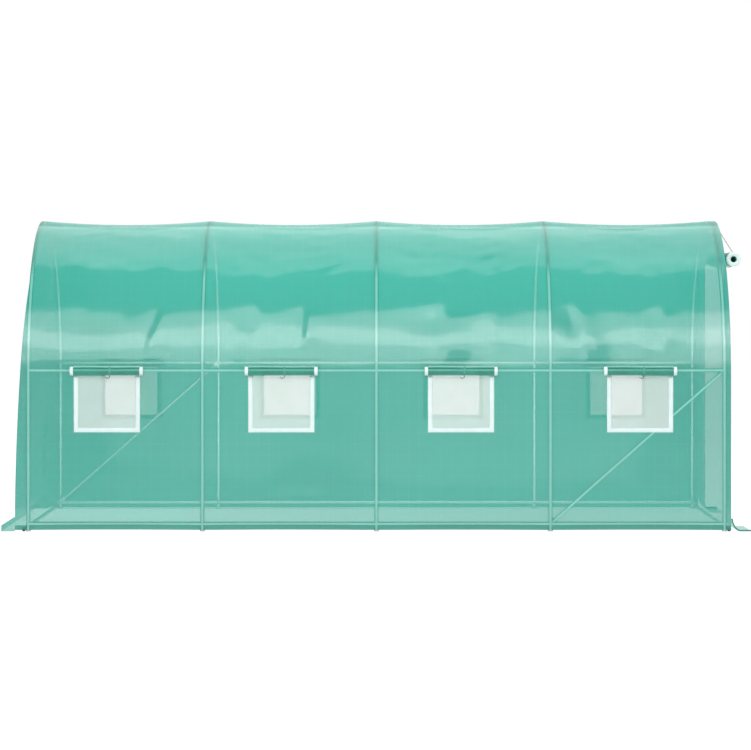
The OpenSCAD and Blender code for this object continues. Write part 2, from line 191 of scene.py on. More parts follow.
class Shade:
    """A value in a material: a socket, with arithmetic that adds Math nodes, and add for any other node."""

    def __init__(self, tree, socket):
        self.tree, self.socket = tree, socket

    def add(self, kind, settings=None, inputs=None, out=0):
        """A new node of a kind, with its settings, then its inputs as values or links; gives one of its outputs."""
        node = self.tree.nodes.new(kind)
        for key, value in (settings or {}).items():
            setattr(node, key, value)
        for key, value in (inputs or {}).items():
            if isinstance(value, Shade):
                self.tree.links.new(value.socket, node.inputs[key])
            else:
                node.inputs[key].default_value = value
        return Shade(self.tree, node.outputs[out])

    def math(self, operation, *others):
        """A Math node of this value and others."""
        return self.add("ShaderNodeMath", {"operation": operation}, dict(enumerate((self, *others))))

    def __add__(self, other): return self.math("ADD", other)
    __radd__ = __add__

    def __mul__(self, other): return self.math("MULTIPLY", other)
    __rmul__ = __mul__

    def __sub__(self, other): return self.math("SUBTRACT", other)
    def __rsub__(self, other): return self.add("ShaderNodeMath", {"operation": "SUBTRACT"}, {0: other, 1: self})
    def __truediv__(self, other): return self.math("DIVIDE", other)

    def step(self, low, high, start=0.0, end=1.0):
        """A smooth step of this value, from start at low to end at high."""
        return self.add("ShaderNodeMapRange", {"interpolation_type": "SMOOTHSTEP"},
                        {"Value": self, "From Min": low, "From Max": high, "To Min": start, "To Max": end})

    def threads(self, pitch, share):
        """Lines at even places along this value: 1 in the middle of a line, 0 past half its share of the pitch."""
        offset = ((self / pitch).math("FRACT") - 0.5).math("ABSOLUTE")
        return offset.step(0.5 - share / 2, 0.5)

    def mix(self, low, high):
        """A colour between two, by this value."""
        return self.add("ShaderNodeMix", {"data_type": "RGBA"}, {0: self, 6: low, 7: high}, out=2)

    def part(self, k):
        """One part of a vector."""
        return self.add("ShaderNodeSeparateXYZ", inputs={"Vector": self}, out=k)

    def noise(self, scale, detail):
        """Soft noise over a vector, from 0 to 1."""
        return self.add("ShaderNodeTexNoise", inputs={"Vector": self, "Scale": scale, "Detail": detail})

    def bump(self, depth, strength):
        """A normal from this height, whose full range is depth in metres."""
        return self.add("ShaderNodeBump", inputs={"Height": self, "Distance": depth, "Strength": strength})


def new_material(name):
    """An empty material, its object coordinates, its UVs and a function that joins a shader to its output."""
    material = bpy.data.materials.new(name)
    material.use_nodes = True
    tree = material.node_tree
    tree.nodes.clear()
    output = tree.nodes.new("ShaderNodeOutputMaterial")
    start = Shade(tree, None)
    place = start.add("ShaderNodeTexCoord", out=3)
    flat = Shade(tree, place.socket.node.outputs[2])

    def finish(shader):
        tree.links.new(shader.socket, output.inputs["Surface"])
        return material
    return start, place, flat, finish


def grey(value):
    """A neutral colour."""
    return (value, value, value, 1.0)


# Pitches of the film's two grids, of the tape's weave and of the insect mesh
FINE_PITCH, COARSE_PITCH, TAPE_PITCH, MESH_PITCH = 0.010, 0.069, 0.0016, 0.0018
BRACE_RUN = np.array([BAY, SPRING_Z + MID_RAIL_RISE - BOTTOM_RAIL_Z])
BRACE_L = float(np.hypot(*BRACE_RUN))


def brace_place(u, v):
    """Place beside the near brace, by u along and v round the cover: the share of the way up it, and the distance
    off its line, from the last bay's first hoop at the bottom rail to the last hoop at the side rail."""
    right, up = (BRACE_RUN / BRACE_L).tolist()
    du, dv = u - (HALF_LEN - BAY), v - float(BOTTOM_RAIL_Z - HEM_Z)
    return (du * right + dv * up) / BRACE_L, (dv * right - du * up).math("ABSOLUTE")


def film_material(name, clear, on_tubes):
    """Translucent green film with a woven grid: part gloss, part glow from behind, and a share, clear, that shows
    what is behind. With on_tubes, the colour carries painted light and shade for the tubes behind it: a painted
    highlight along lines where it lies on a hoop, a rail or the near brace and painted shade beside them, only
    painted shade high on the hoops, and a painted lighter green on the slope of the roof for the light there."""
    start, place, flat, finish = new_material(name)
    u, v = flat.part(0), flat.part(1)
    fine = u.threads(FINE_PITCH, 0.22).math("MAXIMUM", v.threads(FINE_PITCH, 0.22))
    coarse = u.threads(COARSE_PITCH, 0.16).math("MAXIMUM", v.threads(COARSE_PITCH, 0.16))
    cloud = place.noise(1.7, 3.0)
    body = cloud.step(0.30, 0.70).mix((0.010, 0.318, 0.250, 1), (0.014, 0.350, 0.275, 1))
    worn = place.noise(3.1, 2.0).step(0.35, 0.65)
    body = (coarse * worn * 0.13).mix(body, (0.22, 0.40, 0.36, 1))
    cover = 1 - clear * (1 - 0.30 * fine) * (1 - 0.12 * coarse)
    if on_tubes:
        side = v.math("MINIMUM", ROUND_L - v)
        low = side.step(1.85, 1.65)
        # A painted lighter green on the slope of the roof, standing in for the light that falls there
        slope = side.step(1.25, 1.50) * side.step(2.05, 1.75)
        body = (slope * 0.80).mix(body, (0.034, 0.445, 0.352, 1))
        off = ((u / BAY + 0.5).math("FRACT") - 0.5).math("ABSOLUTE") * BAY
        # Painted highlight along the hoops, the rails and the near brace, standing in for the lit tubes just behind
        # the film, and painted shade in a band beside each line
        painted_tube_highlight = off.step(0.0095, 0.0055) * low
        shade = off.step(0.0165, 0.0120)
        inside = u.math("ABSOLUTE").step(HALF_LEN + 0.006, HALF_LEN)
        for rail in RAILS_S[:2]:
            off = (side - float(rail)).math("ABSOLUTE")
            painted_tube_highlight = painted_tube_highlight.math("MAXIMUM", off.step(0.0085, 0.0045) * inside)
            shade = shade.math("MAXIMUM", off.step(0.0150, 0.0110) * inside)
        along, off = brace_place(u, v)
        beside = along.step(0.0, 0.03) * along.step(1.0, 0.97)
        painted_tube_highlight = painted_tube_highlight.math("MAXIMUM", off.step(0.0090, 0.0045) * beside)
        shade = shade.math("MAXIMUM", off.step(0.0140, 0.0100) * beside)
        # High on the hoops only painted shade: a darker green line, with less of the tube showing through
        high = shade * (1 - low)
        body = ((shade - high) * 0.45).mix(body, (0.006, 0.190, 0.145, 1))
        body = (high * 0.80).mix(body, (0.002, 0.275, 0.208, 1))
        body = (painted_tube_highlight * 0.90).mix(body, (0.36, 0.88, 0.77, 1))
        cover = cover + (shade * 0.06).math("MAXIMUM", painted_tube_highlight * 0.14) + high * 0.16
    normal = (fine * 0.6 + coarse * 0.4).bump(0.0004, 0.15)
    gloss = start.add("ShaderNodeBsdfPrincipled", None, {
        "Base Color": body, "Roughness": cloud.step(0.3, 0.7, 0.08, 0.13), "IOR": 1.9, "Normal": normal})
    glow = start.add("ShaderNodeBsdfTranslucent", None, {"Color": (0.023, 0.540, 0.433, 1)})
    gap = start.add("ShaderNodeBsdfTransparent", None, {"Color": (0.82, 0.96, 0.94, 1)})
    sheet = start.add("ShaderNodeMixShader", None, {0: 0.34, 1: gloss, 2: glow})
    return finish(start.add("ShaderNodeMixShader", None, {0: cover, 1: gap, 2: sheet}))


def rolled_film_material(name, girth):
    """Many layers of the film, wound up: dark green, with a painted highlight band on the outer side a little above
    the middle and a painted shade line above it, high on the outer side. girth is the length once round the roll."""
    start, place, flat, finish = new_material(name)
    turn, v = flat.part(0) / girth, flat.part(1)
    cloud = place.noise(9.0, 3.0)
    wound = place.noise(30.0, 2.0)
    body = cloud.step(0.3, 0.7).mix((0.022, 0.235, 0.168, 1), (0.030, 0.285, 0.208, 1))
    body = (v.threads(COARSE_PITCH, 0.10) * 0.2).mix(body, (0.12, 0.36, 0.29, 1))
    # A painted highlight band on the outer side of the roll, a little above the middle
    painted_highlight = (turn - 0.955).math("ABSOLUTE").step(0.045, 0.020)
    body = (painted_highlight * 0.50).mix(body, (0.10, 0.46, 0.37, 1))
    # A painted shade line high on the outer side of the roll, above the painted highlight
    edge = (turn - 0.885).math("ABSOLUTE").step(0.022, 0.010)
    body = (edge * 0.75).mix(body, (0.010, 0.120, 0.085, 1))
    return finish(start.add("ShaderNodeBsdfPrincipled", None, {
        "Base Color": body, "Roughness": cloud.step(0.3, 0.7, 0.30, 0.42), "IOR": 1.5,
        "Normal": wound.bump(0.0006, 0.4)}))


def strap_material(name):
    """Woven strap in the film's green, with a dark wire hook below the rolls."""
    start, place, flat, finish = new_material(name)
    speck = place.noise(600.0, 3.0)
    high = place.part(2).step(ROLL_Z - ROLL_R - 0.004, ROLL_Z - ROLL_R)
    strap = speck.step(0.3, 0.7).mix((0.06, 0.30, 0.23, 1), (0.10, 0.40, 0.31, 1))
    body = high.mix((0.010, 0.026, 0.022, 1), strap)
    return finish(start.add("ShaderNodeBsdfPrincipled", None, {
        "Base Color": body, "Roughness": speck.step(0.3, 0.7, 0.5, 0.65), "Normal": speck.bump(0.0006, 0.4)}))


def tape_material(name):
    """White woven tape: a fine plain weave, slightly soiled."""
    start, place, flat, finish = new_material(name)
    u, v = flat.part(0), flat.part(1)
    weave = u.threads(TAPE_PITCH, 0.5) * v.threads(TAPE_PITCH, 0.5)
    soil = place.noise(14.0, 3.0)
    body = soil.step(0.35, 0.75).mix((0.74, 0.86, 0.85, 1), (0.80, 0.92, 0.91, 1))
    return finish(start.add("ShaderNodeBsdfPrincipled", None, {
        "Base Color": body, "Roughness": soil.step(0.3, 0.7, 0.5, 0.65), "Normal": weave.bump(0.0004, 0.4)}))


def screen_material(name):
    """Fine white insect mesh: threads at a small pitch, and see-through holes between them."""
    start, place, flat, finish = new_material(name)
    u, v = flat.part(0), flat.part(1)
    thread = u.threads(MESH_PITCH, 0.55).math("MAXIMUM", v.threads(MESH_PITCH, 0.55))
    soil = place.noise(11.0, 2.0)
    body = soil.step(0.3, 0.7).mix((0.82, 0.83, 0.80, 1), (0.86, 0.86, 0.84, 1))
    cloth = start.add("ShaderNodeBsdfPrincipled", None, {
        "Base Color": body, "Roughness": 0.7, "Normal": thread.bump(0.0004, 0.4)})
    glow = start.add("ShaderNodeBsdfTranslucent", None, {"Color": (0.80, 0.82, 0.80, 1)})
    gap = start.add("ShaderNodeBsdfTransparent", None, {"Color": grey(1.0)})
    sheet = start.add("ShaderNodeMixShader", None, {0: 0.35, 1: cloth, 2: glow})
    return finish(start.add("ShaderNodeMixShader", None, {0: 0.58 + 0.24 * thread, 1: gap, 2: sheet}))


def steel_material(name, colour, metallic, rough):
    """Zinc-coated tube: pale grey, with a faint spangle and drawn streaks."""
    start, place, flat, finish = new_material(name)
    spangle = place.add("ShaderNodeTexVoronoi", None, {"Vector": place, "Scale": 160.0}, out=1).part(0)
    streak = place.noise(26.0, 3.0)
    dark = tuple(0.86 * c for c in colour)
    body = (spangle * 0.5 + streak * 0.5).step(0.25, 0.75).mix((*dark, 1), (*colour, 1))
    return finish(start.add("ShaderNodeBsdfPrincipled", None, {
        "Base Color": body, "Metallic": metallic, "Roughness": streak.step(0.3, 0.7, rough - 0.02, rough + 0.03)}))


def plain_material(name, colour, rough, grain, depth):
    """Moulded plastic, cord, folded film or zip tape: one colour with a fine grain in its shade and relief."""
    start, place, flat, finish = new_material(name)
    speck = place.noise(grain, 3.0)
    body = speck.step(0.3, 0.7).mix((*(0.82 * c for c in colour), 1), (*colour, 1))
    return finish(start.add("ShaderNodeBsdfPrincipled", None, {
        "Base Color": body, "Roughness": speck.step(0.3, 0.7, rough - 0.06, rough + 0.06),
        "Normal": speck.bump(depth, 0.4)}))


film = film_material("cover_film", 0.25, True)
end_film = film_material("end_film", 0.25, False)
rolled = rolled_film_material("rolled_film", TAU * ROLL_R)
rolled_door_film = rolled_film_material("rolled_door_film", TAU * DOOR_ROLL_R)
tape = tape_material("white_tape")
screen = screen_material("insect_screen")
tube_steel = steel_material("tube_zinc", (0.88, 0.89, 0.89), 0.55, 0.30)
bolt_steel = steel_material("bolt_zinc", (0.62, 0.63, 0.64), 0.85, 0.30)
cap_plastic = plain_material("cap_plastic", (0.62, 0.64, 0.64), 0.45, 240.0, 0.0003)
plug_plastic = plain_material("plug_plastic", (0.018, 0.018, 0.018), 0.45, 240.0, 0.0003)
tie_cord = plain_material("tie_cord", (0.46, 0.46, 0.46), 0.75, 700.0, 0.0008)
tie_strap = strap_material("tie_strap")
flap_fold = plain_material("flap_fold", (0.34, 0.70, 0.60), 0.40, 90.0, 0.0004)
zip_tape = plain_material("zip_tape", (0.70, 0.73, 0.72), 0.60, 500.0, 0.0005)

for node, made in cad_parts.items():
    look = None
    if node.startswith(("arch_", "ridge")) or node.endswith(("_posts", "_rail", "_rails", "_brace")):
        look = tube_steel
    elif node == "foot_caps":
        look = cap_plastic
    elif node == "base_rail_plugs":
        look = plug_plastic
    elif node == "door_ties":
        look = tie_cord
    elif node.endswith("_window_ties"):
        look = tie_strap
    if look is not None:
        made.data.materials.clear()
        made.data.materials.append(look)


# Cover

def sag_at(x):
    """Depth of the film's dip at x: a parabola between hoops, and none past the end hoops."""
    u = np.mod((x + HALF_LEN) / BAY, 1.0)
    return np.where(np.abs(x) >= HALF_LEN, 0.0, 4 * SAG * u * (1 - u))


def end_reach(z, sheet):
    """Distance of an end sheet from the middle at height z: its slack off the hoop, and a quarter sine of lean."""
    slack, lean, top = sheet
    return HALF_LEN + TUBE_R + GAP + FILM_T / 2 + slack + lean * np.sin(np.pi / 2 * np.clip(1 - z / top, 0, 1))


SWELLS = waves(26, 0.36, 1.00, 0.45, 0.0054)
CREASES = waves(30, 0.10, 0.32, 0.9, 0.0016)
# Half width of the still film beside a rail, and place and half width of the creased part of the roof
STILL, HIGH_S, HIGH_W = 0.075, 1.95, 0.30

# Drawn creases, each from one place on the cover to another: x and s of both ends, half width and height. Past its
# ends a crease dies away over LAP_FADE.
DRAWN = ((-1.405, 1.385, -1.425, 1.325, 0.018, 0.0030), (-1.465, 1.25, -1.485, 1.18, 0.020, 0.0022),
         (-0.77, 1.38, -0.77, 1.33, 0.022, 0.0050), (-0.455, 1.39, -0.465, 1.27, 0.026, 0.0068),
         (-0.93, 1.26, -0.94, 1.15, 0.030, 0.0055), (0.44, 1.36, 0.45, 1.18, 0.050, 0.0110),
         (0.76, 1.30, 0.77, 1.20, 0.030, 0.0060), (1.30, 1.38, 1.36, 1.18, 0.028, 0.0085),
         (1.855, 1.38, 1.860, 1.26, 0.026, 0.0075))
LAP_FADE = 0.07
# Broad tilts of the film: x and s of the middle, half width, half height and slope
TILTS = ((0.38, 1.27, 0.20, 0.16, -0.09), (1.28, 1.27, 0.20, 0.16, -0.14))


def drawn_creases(x, s):
    """Sum of straight laps, each a smooth step across its line that dies away to both sides and past its ends, and
    of broad tilts, each a slope in s under a bell."""
    total = np.zeros(np.broadcast(x, s).shape)
    for x0, s0, x1, s1, wide, height in DRAWN:
        length = np.hypot(x1 - x0, s1 - s0)
        along = ((x - x0) * (x1 - x0) + (s - s0) * (s1 - s0)) / length
        off = ((s - s0) * (x1 - x0) - (x - x0) * (s1 - s0)) / length
        past = np.maximum(0, np.maximum(-along, along - length))
        total = total + height * np.tanh(off / wide) * np.exp(-(off / wide / 4) ** 2 - (past / LAP_FADE) ** 2)
    for x0, s0, wide, tall, slope in TILTS:
        total = total + slope * (s - s0) * np.exp(-((x - x0) / wide) ** 2 - ((s - s0) / tall) ** 2)
    return total


def film_ripple(x, s):
    """Creases of the film, outwards: broad swells, short creases and the drawn ones, still at the hoops and where a
    rail lies, and with more of the random ones half-way up the near roof."""
    u = np.mod((x + HALF_LEN) / BAY, 1.0)
    taut = np.where(np.abs(x) >= HALF_LEN, 0.0, np.sqrt(4 * u * (1 - u)))
    for rail in RAILS_S:
        taut = taut * (1 - np.exp(-((s - rail) / STILL) ** 2))
    high = np.exp(-((s - HIGH_S) / HIGH_W) ** 2)
    folds = (1 + 0.9 * high) * wave_sum(x, s, SWELLS) + (0.35 + 1.6 * high) * wave_sum(x, s, CREASES)
    return taut * (folds + drawn_creases(x, s))


def cover_point(x, s, lift=0.0):
    """The cover at x along the tunnel and s round it: from the near hem up the wall, half round the roof and down
    the far wall. Its radius is that at the hoops, less the dip, plus the creases and the lift."""
    radius = FILM_R + lift - sag_at(x) + film_ripple(x, s)
    turn = np.clip((s - WALL_L) / FILM_R, 0, np.pi)
    below = np.maximum(WALL_L - s, 0) + np.maximum(s - WALL_L - ROOF_L, 0)
    return np.stack(np.broadcast_arrays(x, -radius * np.cos(turn), SPRING_Z + radius * np.sin(turn) - below), -1)


OPEN_X = np.sort(np.concatenate([WINDOW_X - WINDOW_W / 2 + BORDER_W, WINDOW_X + WINDOW_W / 2 - BORDER_W]))
OPEN_S = np.array([WINDOW_TOP - WINDOW_H + BORDER_W - HEM_Z, WALL_L])

HOOPS_X = -HALF_LEN + BAY * np.arange(BAYS + 1)
STEP_X, STEP_S = 0.014, 0.020
xs = spaced(np.concatenate([HOOPS_X, OPEN_X]), STEP_X)
ss = spaced(np.concatenate([[0], OPEN_S, [WALL_L, WALL_L + ROOF_L], ROUND_L - OPEN_S, [ROUND_L]]), STEP_S)
ss_z = SPRING_Z + FILM_R * np.sin(np.clip((ss - WALL_L) / FILM_R, 0, np.pi))
ss_z = ss_z - np.maximum(WALL_L - ss, 0) - np.maximum(ss - WALL_L - ROOF_L, 0)
over = np.array([0.34, 0.67, 1.0])[:, None]
left_x = -(HALF_LEN + over[::-1] * (end_reach(ss_z, LEFT_END) - HALF_LEN))
right_x = HALF_LEN + over * (end_reach(ss_z, RIGHT_END) - HALF_LEN)
all_x = np.concatenate([left_x, np.repeat(xs[:, None], len(ss), 1), right_x])
all_s = np.repeat(ss[None], len(all_x), 0)
mid_x = (all_x[1:, :-1] + all_x[:-1, 1:]) / 2
mid_s = (all_s[1:, :-1] + all_s[:-1, 1:]) / 2
in_x = (np.searchsorted(OPEN_X, mid_x) % 2) == 1
in_s = ((mid_s > OPEN_S[0]) & (mid_s < OPEN_S[1])) | ((ROUND_L - mid_s > OPEN_S[0]) & (ROUND_L - mid_s < OPEN_S[1]))
cover = piece("film_cover", [surface(cover_point(all_x, all_s), np.stack([all_x, all_s], -1), keep=~(in_x & in_s))],
              film)
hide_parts(*["%s_bay_%d" % (side, k) for side in ("roof", "near_wall", "far_wall")
                     for k in range(1, BAYS + 1)])
area_of(cover)

# The folded lower edge of the near wall: a second layer of film just outside the first
hem_x, hem_s = all_x[:, :1], spaced(np.array([0.0, HEM_H]), HEM_STEP)[None]
hem_part = surface(cover_point(hem_x, hem_s, HEM_LIFT), np.stack(np.broadcast_arrays(hem_x, hem_s), -1))
hems = piece("cover_hems", [hem_part], film)
area_of(hems)


# End sheets

LEFT_FOLDS = waves(14, 0.22, 0.60, 0.35, 0.016)
RIGHT_FOLDS = waves(14, 0.22, 0.60, 0.35, 0.007)
# Width over which the folds die away at the edge, height where they end, height over which they deepen, least share
# of them, and rise over the skirt to their full depth
FOLD_EDGE, FOLD_TOP, FOLD_RUN, FOLD_LEAST, FOLD_RISE = 0.18, 1.75, 1.2, 0.05, 0.20
# Steps of the rows up the wall and round the arch, and angle of the last row
STEP_WALL, STEP_TURN, LAST_TURN = 0.035, 0.045, np.radians(89.3)
# Columns across the left sheet, and on the right one beside the doorway and across it
LEFT_COLUMNS, SIDE_COLUMNS, DOOR_COLUMNS = 80, 12, 32


def end_rows(skirt_x, skirt_z, sheet, mark):
    """Rows of an end sheet from the ground up, as heights, distances from the middle and lengths along the film: the
    skirt, the leaning wall, then even steps of angle round the arch, one of them at the mark."""
    climb = spaced(np.array([0, mark, LAST_TURN]), STEP_TURN)[1:]
    wall_z = np.concatenate([spaced(np.array([SKIRT_TOP, SPRING_Z]), STEP_WALL), SPRING_Z + EDGE_R * np.sin(climb)])
    z = np.concatenate([skirt_z, wall_z])
    x = np.concatenate([skirt_x, end_reach(wall_z, sheet)])
    run = np.concatenate([[0], np.cumsum(np.hypot(np.diff(z), np.diff(x)))])
    return z, x, run


def half_width(z):
    """Half the width of an end sheet at height z: straight sides, then the arch."""
    return np.sqrt(np.maximum(EDGE_R ** 2 - np.maximum(z - SPRING_Z, 0) ** 2, 0))


def end_fold(y, z, table):
    """Hanging folds of an end sheet, outwards, still round its edge and at its skirt, deepest low down."""
    loose = np.clip((half_width(z) - np.abs(y)) / FOLD_EDGE, 0, 1) * np.clip((FOLD_TOP - z) / FOLD_RUN, FOLD_LEAST, 1)
    return np.abs(loose * np.clip((z - SKIRT_TOP) / FOLD_RISE, 0, 1) * wave_sum(z, y, table))


GROUND_Z = FILM_T / 2
SKIRT_END = HALF_LEN + SKIRT_REACH - FILM_T / 2
slope = np.linspace(0, 1, 8)[:-1]
start_x = end_reach(SKIRT_TOP, LEFT_END)
skirt_x = np.concatenate([np.full(4, SKIRT_END), SKIRT_END + slope * (start_x - SKIRT_END)])
skirt_z = np.concatenate([np.linspace(GROUND_Z, SKIRT_LIP, 5)[:-1], SKIRT_LIP + slope * (SKIRT_TOP - SKIRT_LIP)])
z, x, run = end_rows(skirt_x, skirt_z, LEFT_END, 0.0)
across = np.linspace(-1, 1, LEFT_COLUMNS + 1)[:, None]
y = across * half_width(z)[None]
left_points = np.stack(np.broadcast_arrays(-(x[None] + end_fold(y, z[None], LEFT_FOLDS)), y, z[None]), -1)
left_parts = [surface(left_points, np.stack(np.broadcast_arrays(y, run[None]), -1), flip=True)]
# The webs that close the skirt at both sides, from the ground up to its slope
for hand in (-1, 1):
    web_x = np.linspace(start_x, SKIRT_END, 9)[:, None]
    web_top = SKIRT_TOP + (web_x - start_x) / (SKIRT_END - start_x) * (SKIRT_LIP - SKIRT_TOP)
    web_z = GROUND_Z + np.linspace(0, 1, 6)[None] * (web_top - GROUND_Z)
    web_points = np.stack(np.broadcast_arrays(-web_x, hand * (EDGE_R - FILM_T / 2), web_z), -1)
    left_parts.append(surface(web_points, np.stack(np.broadcast_arrays(web_x, web_z), -1), flip=hand < 0))
left_end = piece("left_end_sheet", left_parts, end_film)
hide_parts("left_end_wall", "left_skirt")
area_of(left_end)

bend_x = end_reach(SKIRT_TOP, RIGHT_END) + SKIRT_BEND
turn = np.linspace(np.pi / 2, 0, 12)[:-1]
skirt_x = np.concatenate([np.linspace(SKIRT_END, bend_x, 5)[:-1], bend_x - SKIRT_BEND * np.cos(turn)])
skirt_z = np.concatenate([np.full(4, GROUND_Z), GROUND_Z + (SKIRT_TOP - GROUND_Z) * (1 - np.sin(turn))])
z, x, run = end_rows(skirt_x, skirt_z, RIGHT_END, np.arcsin((DOOR_H - SPRING_Z) / EDGE_R))
door = DOOR_W / 2
wide = half_width(z)[None]
side = np.linspace(0, 1, SIDE_COLUMNS + 1)[:, None]
low_far = door + side * (wide - door)
low_mid = np.linspace(-door, door, DOOR_COLUMNS + 1)[1:-1, None] + 0 * wide
low = np.concatenate([-low_far[::-1], low_mid, low_far])
top_row = int(np.argmin(np.abs(z - DOOR_H)))
at_top = slice(top_row, top_row + 1)
y = np.where(np.arange(len(z))[None] <= top_row, low, low[:, at_top] * wide / wide[:, at_top])
right_points = np.stack(np.broadcast_arrays(x[None] + end_fold(y, z[None], RIGHT_FOLDS), y, z[None]), -1)
keep = np.ones((len(y) - 1, len(z) - 1), bool)
keep[SIDE_COLUMNS:-SIDE_COLUMNS, :top_row] = False
right_part = surface(right_points, np.stack(np.broadcast_arrays(y, run[None]), -1), keep=keep)
right_end = piece("right_end_sheet", [right_part], end_film)
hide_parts("right_end_near_panel", "right_end_far_panel", "right_end_top_panel", "right_skirts")
area_of(right_end)

# The turned-up outer edges of the right skirts: their outline, raised square to it
EDGE_TURN = 0.010
outline = np.stack([skirt_x, skirt_z], -1)
ahead = np.gradient(outline, axis=0)
ahead /= np.linalg.norm(ahead, axis=1)[:, None]
raised = outline[:, None] + np.linspace(0, EDGE_TURN, 3)[None, :, None] * (ahead @ [[0, -1], [1, 0]])[:, None]
edge_uv = np.stack(np.broadcast_arrays(run[:len(outline), None], np.linspace(0, EDGE_TURN, 3)[None]), -1)
edge_parts = [surface(np.stack(np.broadcast_arrays(raised[..., 0], hand * (EDGE_R - FILM_T / 2), raised[..., 1]), -1),
                      edge_uv, flip=hand > 0) for hand in (-1, 1)]
skirt_edges = piece("right_skirt_edges", edge_parts, rolled)
area_of(skirt_edges)

# Zip tapes down both sides of the doorway, on the outside of the film
ZIP_W, ZIP_LIFT, ZIP_STEP = 0.030, 0.0015, 0.03
zip_z = spaced(np.array([SKIRT_TOP, DOOR_H]), ZIP_STEP)[None]
zip_parts = []
for hand in (-1, 1):
    zip_y = hand * (door + np.linspace(0.001, ZIP_W, 5)[:, None] * np.ones_like(zip_z))
    zip_x = end_reach(zip_z, RIGHT_END) + end_fold(zip_y, zip_z, RIGHT_FOLDS) + ZIP_LIFT
    zip_points = np.stack(np.broadcast_arrays(zip_x, zip_y, zip_z), -1)
    zip_parts.append(surface(zip_points, np.stack(np.broadcast_arrays(zip_y, zip_z), -1), flip=hand < 0))
piece("door_zip_tapes", zip_parts, zip_tape)


# Windows

# Grid steps of the screens, tapes and flap tops, sides of a window's and of the door's roll, and rings along a roll
SCREEN_STEP, TAPE_STEP, FLAP_STEP = 0.02, 0.01, 0.02
ROLL_SIDES, DOOR_ROLL_SIDES, ROLL_RINGS = 40, 56, 41


def window_patch(k, hand, lift, step, frame_only):
    """The cover's surface over window k on one side, lifted off it: the whole window, or only the tape down
    its sides and under it."""
    half, inner = WINDOW_W / 2, WINDOW_W / 2 - BORDER_W
    wx = spaced(WINDOW_X[k] + np.array([-half, -inner, inner, half]), step)[:, None]
    low, high = WINDOW_TOP - WINDOW_H - HEM_Z, WINDOW_TOP - HEM_Z
    ws = spaced(np.array([low, low + BORDER_W, high]), step)[None]
    mx, ms = (wx[1:] + wx[:-1]) / 2, (ws[:, 1:] + ws[:, :-1]) / 2
    keep = (np.abs(mx - WINDOW_X[k]) > inner) | (ms < low + BORDER_W)
    uv = np.stack(np.broadcast_arrays(wx, ws), -1)
    s = ws if hand < 0 else ROUND_L - ws
    return surface(cover_point(wx, s, lift), uv, keep=keep if frame_only else None, flip=hand > 0)


def roll_place(k, hand):
    """Middle of window k's roll, which lies against the film."""
    ends = WINDOW_X[k] + np.array([-ROLL_L / 2, ROLL_L / 2])
    lie = FILM_R + FILM_T / 2 - sag_at(ends).min() + ROLL_END_R + GAP
    return np.array([WINDOW_X[k], hand * np.sqrt(lie ** 2 - (ROLL_Z - SPRING_Z) ** 2), ROLL_Z])


def flap_top(k, hand):
    """The film between the cover and window k's roll: straight from the cover, a little over the roll, to the line
    high on the roll's outer side where it starts to wind."""
    middle = roll_place(k, hand)
    along = spaced(WINDOW_X[k] + np.array([-1, 1]) * (ROLL_L / 2 - ROLL_END_W), FLAP_STEP)[:, None]
    s = WALL_L + FILM_R * np.arcsin((middle[2] + FLAP_RISE - SPRING_Z) / FILM_R)
    start = cover_point(along, np.array([[s if hand < 0 else ROUND_L - s]]), HEM_LIFT)
    end = middle + (ROLL_R + FLAP_LIFT) * np.array([0, hand * np.sin(FLAP_LEAN), np.cos(FLAP_LEAN)])
    end = np.stack(np.broadcast_arrays(along, end[1], end[2]), -1)
    down = np.linspace(0, 1, 5)[None, :, None]
    points = start + down * (end - start)
    uv = np.stack(np.broadcast_arrays(along, FLAP_RUN * down[..., 0]), -1)
    return surface(points, uv, flip=hand < 0)


LUMPS = waves(8, 0.08, 0.30, 1.2, 0.03)


def lumps(angle, along):
    """Unevenness of a roll, as a share of its radius."""
    return wave_sum(along, 0.04 * np.sin(angle), LUMPS) + 0.006 * np.cos(2 * angle + 7 * along)


def roll_profile(half, radius, core, edge):
    """Closed outline of a hollow roll: out along one end, along the roll, in along the other end and back inside."""
    along = np.linspace(-half + edge, half - edge, ROLL_RINGS)
    outer = np.stack([along, np.full(ROLL_RINGS, radius)], -1)
    return np.concatenate([[[-half, core], [-half, radius - edge]], outer, [[half, radius - edge], [half, core]]])


def band_profile(low, high, radius, inside, edge):
    """Closed outline of a tape wrapped round the end of a roll, with rounded edges."""
    return np.array([[low, inside], [low, radius - edge], [low + edge, radius], [high - edge, radius],
                     [high, radius - edge], [high, inside]])


for side_name, hand in (("near", -1), ("far", 1)):
    patches = [window_patch(k, hand, SCREEN_LIFT, SCREEN_STEP, False) for k in range(BAYS)]
    screens = piece(side_name + "_screens", patches, screen)
    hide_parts(side_name + "_window_screens")
    area_of(screens)
    patches = [window_patch(k, hand, BORDER_LIFT, TAPE_STEP, True) for k in range(BAYS)]
    borders = piece(side_name + "_borders", patches, tape)
    thick = borders.modifiers.new("thick", "SOLIDIFY")
    thick.thickness, thick.offset = BORDER_T, 1.0
    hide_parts(side_name + "_window_borders")
    rolls, ends = [], []
    for k in range(BAYS):
        middle = roll_place(k, hand)
        half = ROLL_L / 2
        profile = roll_profile(half - 0.001, ROLL_R, ROLL_CORE_R, 0.002)
        rolls.append(revolved(profile, middle, (-hand, 0, 0), ROLL_SIDES, lumps))
        for low in (-half, half - ROLL_END_W):
            band = band_profile(low, low + ROLL_END_W, ROLL_END_R, ROLL_END_CORE_R, 0.0015)
            ends.append(revolved(band, middle, (1, 0, 0), ROLL_SIDES))
    roll = piece(side_name + "_flap_rolls", rolls, rolled)
    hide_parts(side_name + "_window_rolls")
    piece(side_name + "_flap_roll_ends", ends, tape)
    tops = piece(side_name + "_flap_tops", [flap_top(k, hand) for k in range(BAYS)], flap_fold)
    area_of(tops)


# Door

